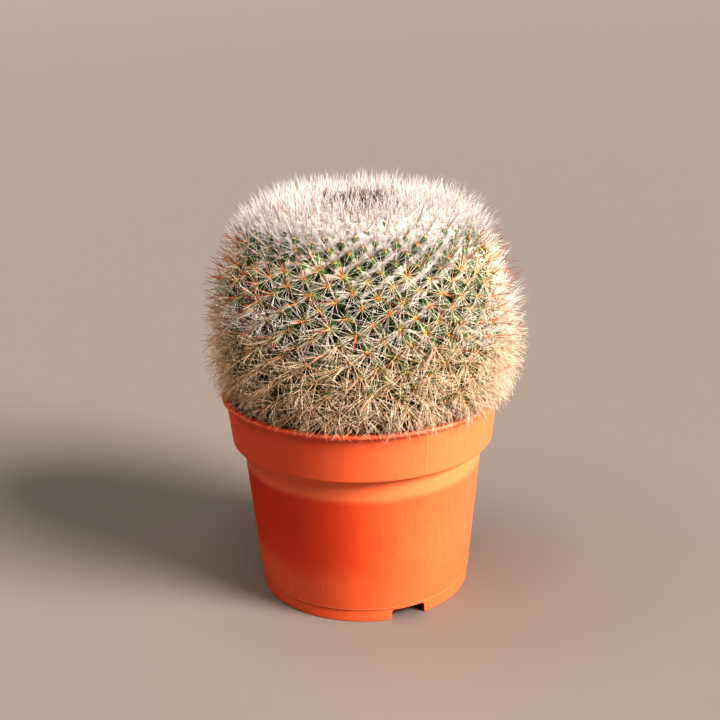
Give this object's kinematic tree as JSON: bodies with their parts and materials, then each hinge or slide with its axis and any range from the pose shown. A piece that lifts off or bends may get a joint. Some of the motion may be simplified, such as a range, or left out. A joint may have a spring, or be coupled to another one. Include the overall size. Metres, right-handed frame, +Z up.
{
  "type": "potted round cactus",
  "caption": "Round pincushion cactus with spiral tubercles, dense spines and a white woolly crown, growing in a tapered plastic nursery pot with a rim band and a notched foot.",
  "frame": {"origin": "centre of the pot's foot, on the surface that it stands on", "axes": "+Z up along the pot's axis, +X to the right and -Y to the front of the pictured view"},
  "size_m": [0.1361, 0.1363, 0.1798],
  "materials": {
    "pot_plastic": "terracotta orange moulded plastic, satin, lightly scuffed near the foot",
    "potting_soil": "dry dark potting mix with fine grit",
    "cactus_skin": "green waxy skin, covered by white, tan and orange-brown spines",
    "crown_wool": "white matted plant wool with fine white bristles"
  },
  "bodies": {
    "root": {"pot": "pot_plastic", "soil": "potting_soil", "stem": "cactus_skin", "crown_wool": "crown_wool"}
  },
  "joints": []
}
